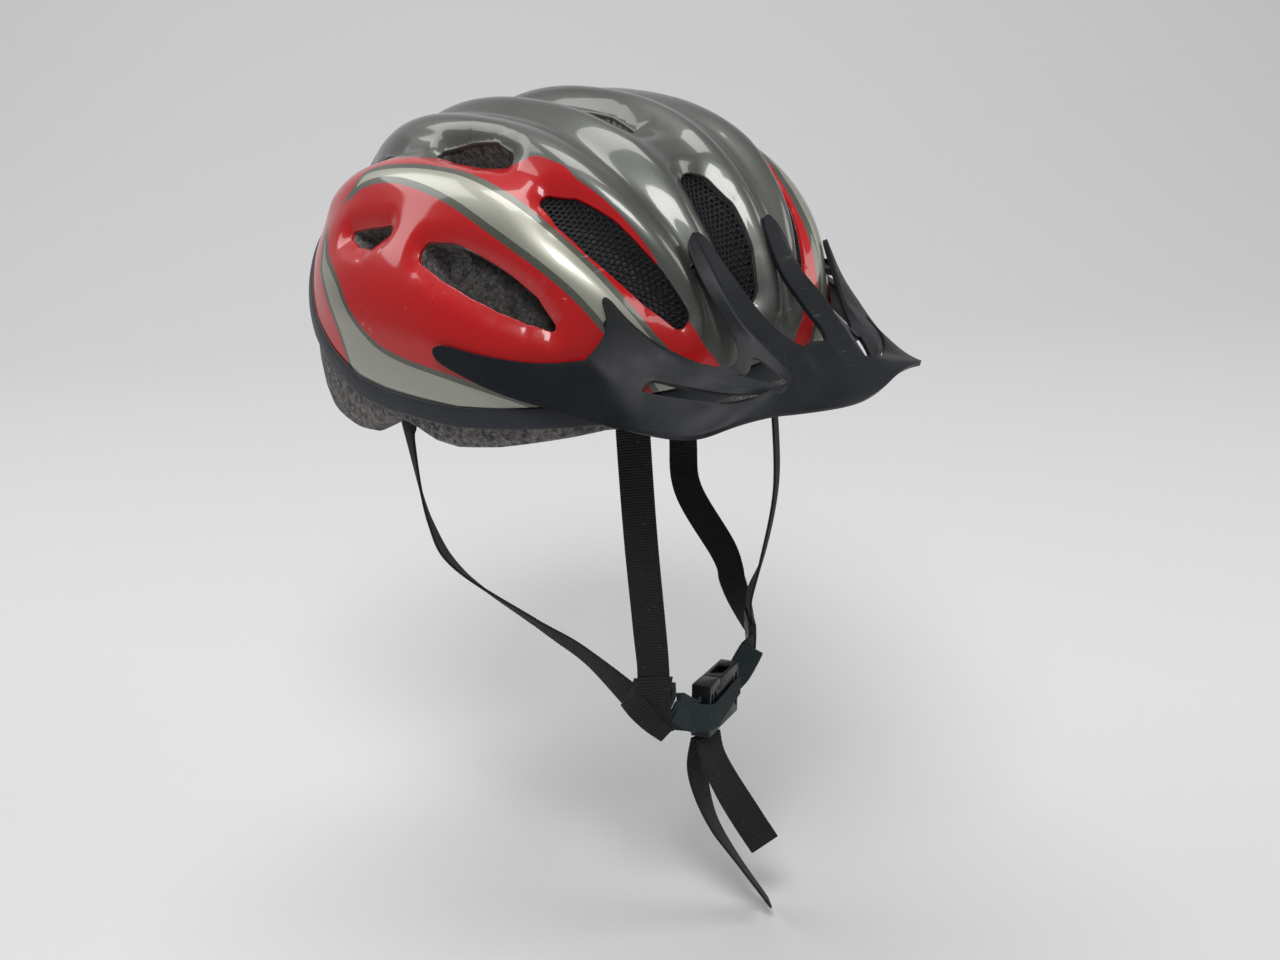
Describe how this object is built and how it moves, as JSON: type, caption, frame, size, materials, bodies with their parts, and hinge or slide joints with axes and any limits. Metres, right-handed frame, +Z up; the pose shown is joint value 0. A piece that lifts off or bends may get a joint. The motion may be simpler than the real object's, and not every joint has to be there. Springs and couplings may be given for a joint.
{
  "type": "bicycle helmet with visor",
  "caption": "Vented bicycle helmet with ribbed shell, foam liner, insect nets, pull-off visor, fit pads, chin straps and side-release buckle.",
  "frame": {"origin": "middle of the head opening, level with the brow", "axes": "+Z up to the crown, the wearer faces -Y, +X is the wearer's left"},
  "size_m": [0.2232, 0.3093, 0.3752],
  "materials": {
    "shell": "gloss",
    "band": "matte",
    "foam": "matte",
    "net": "matte",
    "pad": "matte",
    "dots": "matte",
    "visor": "satin",
    "fittings": "matte",
    "webbing": "matte",
    "chin_webbing": "matte",
    "buckle": "gloss"
  },
  "bodies": {
    "helmet": {"outer_shell": "shell", "rim_band": "band", "foam_liner": "foam", "insect_net_center": "net", "insect_net_left": "net", "insect_net_right": "net", "brow_pad": "pad", "crown_pad_left": "pad", "crown_pad_right": "pad", "side_pad_left": "pad", "side_pad_right": "pad", "rear_pad_left": "pad", "rear_pad_right": "pad", "pad_dots": "dots", "visor_bushes": "fittings", "front_anchor_left": "fittings", "front_anchor_right": "fittings", "rear_anchor_left": "fittings", "rear_anchor_right": "fittings", "front_strap_left": "webbing", "front_strap_right": "webbing", "rear_strap_left": "webbing", "rear_strap_right": "webbing", "divider_left": "fittings", "divider_right": "fittings", "chin_strap_left": "chin_webbing", "chin_strap_right": "chin_webbing", "buckle_socket": "buckle"},
    "visor": {"visor": "visor"},
    "plug": {"buckle_plug": "buckle", "flat_tail": "webbing", "twisted_tail": "webbing"},
    "upper_prong": {"upper_prong": "buckle"},
    "lower_prong": {"lower_prong": "buckle"}
  },
  "joints": [
    {"name": "visor_pull", "type": "slide", "parent": "helmet", "child": "visor", "axis": [0, -1, 0], "range_m": [0, 0.01]},
    {"name": "plug_slide", "type": "slide", "parent": "helmet", "child": "plug", "axis": [-0.8823, -0.4496, 0.1392], "range_m": [0, 0.016], "deforming": ["chin_strap_right"]},
    {"name": "upper_prong_squeeze", "type": "hinge", "parent": "plug", "child": "upper_prong", "pos_m": [-0.00437, -0.0883, -0.14857], "axis": [-0.454, 0.891, 0], "range_deg": [0, 6], "stiffness_Nm_per_rad": 0.1},
    {"name": "lower_prong_squeeze", "type": "hinge", "parent": "plug", "child": "lower_prong", "pos_m": [-0.00645, -0.08936, -0.1652], "axis": [0.454, -0.891, 0], "range_deg": [0, 6], "stiffness_Nm_per_rad": 0.1}
  ]
}
